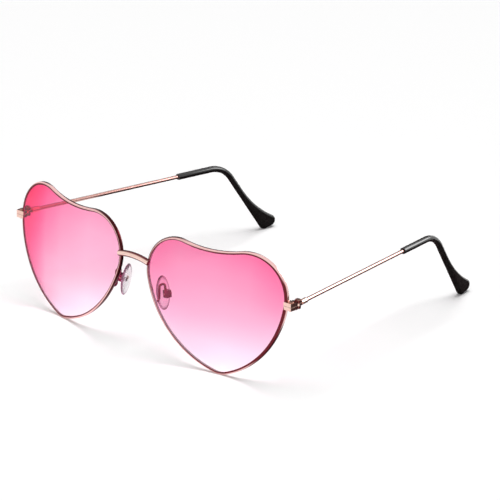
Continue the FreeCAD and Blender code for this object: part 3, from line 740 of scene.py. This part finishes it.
def make_small_metal(gold, shaded_hinge_gold, pad_metal, steel):
    """Closing blocks, hinge leaves, pad boxes and screws."""
    on_front = [
        ("closing_block_upper", gold, "rose_gold"),
        ("closing_block_lower", gold, "rose_gold"),
        ("front_hinge_leaf", shaded_hinge_gold, "rose_gold"),
        ("pad_box", pad_metal, "rose_gold"),
        ("closing_screw", steel, "screw_metal"),
        ("hinge_screw", steel, "screw_metal"),
        ("pad_screw", steel, "screw_metal"),
    ]
    for side in SIDES:
        for part, material, slot in on_front:
            soften_node(f"{side}_{part}", f"{side}_soft_{part}", material, "front")
        soften_node(f"{side}_temple_hinge_leaf", f"{side}_soft_temple_leaf", gold,
                    f"{side}_temple")


# Material tools

def new_material(name):
    material = bpy.data.materials.new(name)
    material.use_nodes = True
    return material, material.node_tree.nodes["Principled BSDF"]


def add_node(material, kind, **settings):
    node = material.node_tree.nodes.new(kind)
    for key, value in settings.items():
        setattr(node, key, value)
    return node


def join(material, source, target):
    material.node_tree.links.new(source, target)


def combine(material, operation, *sources):
    """Result of a sum with one or two sockets."""
    node = add_node(material, "ShaderNodeMath", operation=operation)
    for source, target in zip(sources, node.inputs):
        join(material, source, target)
    return node.outputs["Value"]


def product(material, first, *others):
    """All the sockets multiplied."""
    for other in others:
        first = combine(material, "MULTIPLY", first, other)
    return first


def attribute(material, name):
    return add_node(material, "ShaderNodeAttribute", attribute_name=name).outputs["Fac"]


def object_place(material):
    return add_node(material, "ShaderNodeTexCoord").outputs["Object"]


def height_and_reach(material):
    """Height of a place on the piece, and its distance from the mirror plane."""
    parts = add_node(material, "ShaderNodeSeparateXYZ")
    join(material, object_place(material), parts.inputs["Vector"])
    return parts.outputs["Z"], combine(material, "ABSOLUTE", parts.outputs["X"])


def grain(material, scale, detail):
    """Even noise over the piece, from 0 to 1."""
    noise = add_node(material, "ShaderNodeTexNoise")
    noise.inputs["Scale"].default_value = scale
    noise.inputs["Detail"].default_value = detail
    join(material, object_place(material), noise.inputs["Vector"])
    return noise.outputs["Fac"]


def spread(material, source, low, high, to_low, to_high):
    """Goes from to_low to to_high while the source goes from low to high."""
    node = add_node(material, "ShaderNodeMapRange")
    for socket, value in zip(("From Min", "From Max", "To Min", "To Max"), (low, high, to_low, to_high)):
        node.inputs[socket].default_value = value
    join(material, source, node.inputs["Value"])
    return node.outputs["Result"]


def tones(material, source, stops):
    """Colour ramp from (place, colour) stops."""
    node = add_node(material, "ShaderNodeValToRGB")
    ramp = node.color_ramp
    while len(ramp.elements) < len(stops):
        ramp.elements.new(0.5)
    for element, (place, colour) in zip(ramp.elements, stops):
        element.position = place
        element.color = (*colour, 1)
    join(material, source, node.inputs["Fac"])
    return node.outputs["Color"]


def vary_colour(material, shader, colours, scale, detail=COLOUR_DETAIL):
    """Deep and pale colour over a grain."""
    stops = list(zip(GRAIN_SPAN, colours))
    join(material, tones(material, grain(material, scale, detail), stops), shader.inputs["Base Color"])


def vary_polish(material, shader, polish, scale):
    """Smooth and rough polish over a grain."""
    source = grain(material, scale, POLISH_DETAIL)
    join(material, spread(material, source, *GRAIN_SPAN, *polish), shader.inputs["Roughness"])


def fine_ripple(material, shader, scale, strength, distance):
    bump = add_node(material, "ShaderNodeBump")
    bump.inputs["Strength"].default_value = strength
    bump.inputs["Distance"].default_value = distance
    join(material, grain(material, scale, RIPPLE_DETAIL), bump.inputs["Height"])
    join(material, bump.outputs["Normal"], shader.inputs["Normal"])


def clear_where(material, shader, factor, colour):
    """Lets light of a colour straight through where the factor is 1."""
    clear = add_node(material, "ShaderNodeBsdfTransparent")
    clear.inputs["Color"].default_value = (*colour, 1)
    mix = add_node(material, "ShaderNodeMixShader")
    join(material, factor, mix.inputs["Fac"])
    join(material, shader.outputs["BSDF"], mix.inputs[1])
    join(material, clear.outputs["BSDF"], mix.inputs[2])
    join(material, mix.outputs["Shader"], material.node_tree.nodes["Material Output"].inputs["Surface"])


def let_lamps_through(material, shader, colour):
    """Clear pieces cast a pale shadow, not a black one."""
    path = add_node(material, "ShaderNodeLightPath")
    clear_where(material, shader, path.outputs["Is Shadow Ray"], colour)


# Metals

def metal_material(name):
    material, shader = new_material(name)
    shader.inputs["Metallic"].default_value = 1.0
    return material, shader


def plated_material(name):
    """Polished plating with a fine ripple, still without its colour."""
    material, shader = metal_material(name)
    vary_polish(material, shader, PLATING_POLISH, scale=1600)
    fine_ripple(material, shader, scale=5200, strength=0.04, distance=0.00002)
    return material, shader


def rose_gold_material(name, colours):
    material, shader = plated_material(name)
    vary_colour(material, shader, colours, scale=420)
    return material


def rim_material():
    """Painted dark reflections in rose gold: beside the lens, in front by the temple, outside by the nose."""
    material, shader = plated_material("rim_plating_painted_reflections")
    height, reach = height_and_reach(material)
    inset = attribute(material, RIM_INSET)
    front = attribute(material, RIM_FRONT)
    top_heights = [share * RIM_HEIGHT for share in RIM_TOP_SHARES]
    low_heights = [share * RIM_HEIGHT for share in RIM_LOW_SHARES]
    temple_reaches = [NASAL_EDGE + share * RIM_WIDTH for share in TEMPLE_LINE_SHARES]

    beside_lens = product(
        material, inset,
        spread(material, height, *top_heights, 1, RIM_TOP_SHADE_SHARE),
        spread(material, height, *low_heights, RIM_LOW_SHADE_SHARE, 1),
        spread(material, reach, NASAL_EDGE, TEMPORAL_EDGE, *RIM_SIDE_SHADE_SHARES),
    )
    by_temple = product(
        material, front,
        spread(material, reach, *temple_reaches, 0, TEMPLE_SHADE_SHARE),
        spread(material, height, *top_heights, 1, 0),
    )
    by_nose = product(
        material, spread(material, inset, 0, 1, 1, 0),
        spread(material, reach, NASAL_EDGE, NASAL_EDGE + NOSE_SHADE_REACH, 1, 0),
    )

    shade = combine(material, "MAXIMUM", beside_lens, by_temple)
    lined = tones(material, shade, list(zip(RIM_SHADE_SHARES, (RIM_ROSE, PAINTED_REFLECTION_ROSE))))
    colour = add_node(material, "ShaderNodeMix", data_type="RGBA")
    colour.inputs["B"].default_value = (*NOSE_SHADE_ROSE, 1)
    join(material, lined, colour.inputs["A"])
    join(material, spread(material, by_nose, *RIM_SHADE_SHARES, 0, 1), colour.inputs["Factor"])
    join(material, colour.outputs["Result"], shader.inputs["Base Color"])
    return material


def bridge_material():
    """Rose gold with painted dark reflections along the top and the bottom of the bar and at its ends."""
    material, shader = plated_material("bridge_plating_painted_reflections")
    stops = list(zip(BRIDGE_SHADE_SHARES, (BRIDGE_ROSE, PAINTED_REFLECTION_ROSE)))
    join(material, tones(material, attribute(material, BRIDGE_SHADE), stops), shader.inputs["Base Color"])
    return material


def pad_arm_painted_shade_material():
    """Plating of the pad arms and boxes, darker and more magenta than the rose gold: painted shade."""
    material, shader = metal_material("pad_arm_plating_painted_shade")
    vary_colour(material, shader, PAD_ARM_ROSE_PAINTED_SHADE, scale=600)
    vary_polish(material, shader, PAD_ARM_POLISH, scale=1800)
    return material


def screw_material():
    material, shader = metal_material("turned_screw_metal")
    vary_colour(material, shader, SCREW_BROWN, scale=900, detail=3)
    vary_polish(material, shader, SCREW_POLISH, scale=2600)
    return material


# Plastics

def tip_material():
    material, shader = new_material("black_tip_plastic")
    shader.inputs["Specular IOR Level"].default_value = 0.15
    shader.inputs["Coat Weight"].default_value = 1.0
    shader.inputs["Coat Roughness"].default_value = 0.04
    vary_colour(material, shader, TIP_BLACK, scale=700)
    vary_polish(material, shader, TIP_POLISH, scale=1400)
    fine_ripple(material, shader, scale=2400, strength=0.06, distance=0.00003)
    return material


def pad_material():
    """Clear silicone with painted shade round its edge."""
    material, shader = new_material("clear_pad_silicone")
    shader.inputs["Transmission Weight"].default_value = 1.0
    shader.inputs["IOR"].default_value = PAD_IOR
    stops = list(zip(PAD_EDGE_SHARES, (PAD_CLEAR, PAD_EDGE_PAINTED_SHADE)))
    join(material, tones(material, attribute(material, PAD_EDGE), stops), shader.inputs["Base Color"])
    vary_polish(material, shader, PAD_POLISH, scale=1500)
    let_lamps_through(material, shader, PAD_SHADOW)
    return material


def tint_through(depth):
    """Colour left of white light behind a depth of pink dye."""
    blue_depth = TINT_BLUE_SHARE * min(depth, depth ** TINT_BLUE_POWER)
    return (1, math.exp(-depth), math.exp(-blue_depth))


def dye_depth(material, source, shares, strength=1):
    """Depth of dye as a share of the deepest, from (place, depth) stops."""
    stops = [(place, (depth * strength / TINT_DEPTH,) * 3) for place, depth in shares]
    return tones(material, source, stops)


def lens_material(side, fade_share, low_shares, high_shares):
    """Pink tint that fades downwards, deeper under the top of the rim and towards its sides."""
    material, shader = new_material(f"{side}_lens_tint")
    shader.inputs["Transmission Weight"].default_value = 1.0
    shader.inputs["Roughness"].default_value = 0.0
    shader.inputs["IOR"].default_value = LENS_IOR
    height, reach = height_and_reach(material)
    upward = spread(material, height, 0, RIM_HEIGHT, 0, 1)
    outward = spread(material, reach, NASAL_EDGE, NASAL_EDGE + RIM_WIDTH, 0, 1)
    fade = dye_depth(material, upward, TINT_FADE_SHARES, fade_share)
    sides = add_node(material, "ShaderNodeMix", data_type="RGBA")
    join(material, spread(material, upward, *LENS_SIDE_SHARES, 0, 1), sides.inputs["Factor"])
    join(material, dye_depth(material, outward, low_shares), sides.inputs["A"])
    join(material, dye_depth(material, outward, high_shares), sides.inputs["B"])
    total = combine(material, "ADD", fade, sides.outputs["Result"])
    places = [step / TINT_STOPS for step in range(TINT_STOPS + 1)]
    stops = [(place, tint_through(TINT_DEPTH * place)) for place in places]
    join(material, tones(material, total, stops), shader.inputs["Base Color"])
    let_lamps_through(material, shader, LENS_SHADOW)
    return material


# Studio

def white_to_sight(backdrop):
    """Factor that is 1 for the rays that show the background: straight, mirrored or through glass."""
    rays = add_node(backdrop, "ShaderNodeLightPath").outputs
    straight_or_mirrored = combine(backdrop, "MAXIMUM", rays["Is Camera Ray"], rays["Is Glossy Ray"])
    return combine(backdrop, "MAXIMUM", straight_or_mirrored, rays["Is Transmission Ray"])


def make_world():
    world = bpy.data.worlds.new("studio_white")
    bpy.context.scene.world = world
    world.use_nodes = True
    background = world.node_tree.nodes["Background"]
    background.inputs["Color"].default_value = (*WHITE, 1)
    join(world, spread(world, white_to_sight(world), 0, 1, WORLD_FILL, 1), background.inputs["Strength"])


def make_floor():
    material, shader = new_material("white_floor")
    shader.inputs["Base Color"].default_value = (*FLOOR_WHITE, 1)
    shader.inputs["Specular IOR Level"].default_value = 0.0
    shader.inputs["Emission Color"].default_value = (*WHITE, 1)
    glow = spread(material, white_to_sight(material), 0, 1, 0, FLOOR_GLOW)
    join(material, glow, shader.inputs["Emission Strength"])
    bm = bmesh.new()
    bmesh.ops.create_grid(bm, x_segments=1, y_segments=1, size=FLOOR_HALF_SIDE)
    floor = add_object("studio_floor", bm, material)
    bm.free()


def add_softbox(name, place, aim, width, power):
    lamp = bpy.data.lights.new(name, "AREA")
    lamp.shape = "SQUARE"
    lamp.size = width
    lamp.energy = power
    holder = bpy.data.objects.new(name, lamp)
    holder.location = place
    holder.rotation_euler = (aim - place).to_track_quat("-Z", "Y").to_euler()
    holder.visible_glossy = False
    bpy.context.scene.collection.objects.link(holder)


def card_material(name, glow):
    """Matt card that can be seen from its front only."""
    material, shader = new_material(name)
    shader.inputs["Base Color"].default_value = (*CARD_BLACK, 1)
    shader.inputs["Roughness"].default_value = 1.0
    shader.inputs["Emission Color"].default_value = (*WHITE, 1)
    shader.inputs["Emission Strength"].default_value = glow
    behind = add_node(material, "ShaderNodeNewGeometry").outputs["Backfacing"]
    clear_where(material, shader, behind, WHITE)
    return material


def add_card(name, place, facing, width, height, material):
    """Card that only mirroring surfaces see."""
    bm = bmesh.new()
    bmesh.ops.create_grid(bm, x_segments=1, y_segments=1, size=0.5)
    bmesh.ops.scale(bm, vec=(width, height, 1), verts=bm.verts)
    bmesh.ops.transform(bm, matrix=facing_matrix(place, facing), verts=bm.verts)
    card = add_object(name, bm, material)
    bm.free()
    card.visible_camera = False
    card.visible_diffuse = False
    card.visible_transmission = False
    card.visible_shadow = False


def make_cards():
    """Black cards for the dark lines in the metal, and a white one for its shine."""
    black = card_material("black_card", 0.0)
    for name, (left, right, front, back) in FLOOR_FLAGS.items():
        middle = Vector(((left + right) / 2, (front + back) / 2, FLOOR_FLAG_HEIGHT))
        add_card(name, middle, UPWARDS, right - left, back - front, black)
    add_card("back_flag", *BACK_FLAG, black)
    add_card("side_shine", *SIDE_SHINE, card_material("white_card", SHINE_GLOW))


def make_studio():
    make_world()
    make_floor()
    for name, settings in SOFTBOXES.items():
        add_softbox(name, *settings)
    make_cards()


def make_camera():
    back = Vector((math.sin(CAMERA_AZIMUTH) * math.cos(CAMERA_ELEVATION),
                   -math.cos(CAMERA_AZIMUTH) * math.cos(CAMERA_ELEVATION),
                   math.sin(CAMERA_ELEVATION)))
    right = Vector((math.cos(CAMERA_AZIMUTH), math.sin(CAMERA_AZIMUTH), 0))
    turn = Matrix((right, back.cross(right), back)).transposed().to_4x4()
    lens = bpy.data.cameras.new("photo_camera")
    lens.lens = CAMERA_LENS
    lens.sensor_width = CAMERA_SENSOR
    lens.clip_start = CAMERA_NEAR_CLIP
    camera = bpy.data.objects.new("photo_camera", lens)
    place = Matrix.Translation(CAMERA_TARGET + back * CAMERA_DISTANCE)
    camera.matrix_world = place @ turn @ Matrix.Rotation(CAMERA_ROLL, 4, "Z")
    bpy.context.scene.collection.objects.link(camera)
    bpy.context.scene.camera = camera


def on_both_sides(material):
    return {side: material for side in SIDES}


def main():
    gold = rose_gold_material("rose_gold_plating", ROSE_GOLD)
    shaded_wire_gold = rose_gold_material("temple_wire_plating_painted_shade", WIRE_ROSE_GOLD_PAINTED_SHADE)
    shaded_hinge_gold = rose_gold_material("hinge_plating_painted_shade", HINGE_ROSE_GOLD_PAINTED_SHADE)
    pad_metal = pad_arm_painted_shade_material()
    make_rims(on_both_sides(rim_material()))
    make_lenses({side: lens_material(side, *dye) for side, dye in LENS_DYES.items()})
    make_bridge(bridge_material())
    make_temple_wires(on_both_sides(shaded_wire_gold))
    make_temple_tips(on_both_sides(tip_material()))
    make_nose_pads(on_both_sides(pad_material()))
    make_pad_arms(on_both_sides(pad_metal))
    make_small_metal(gold, shaded_hinge_gold, pad_metal, screw_material())
    make_studio()
    make_camera()
    bpy.context.scene.view_settings.view_transform = "Standard"


main()
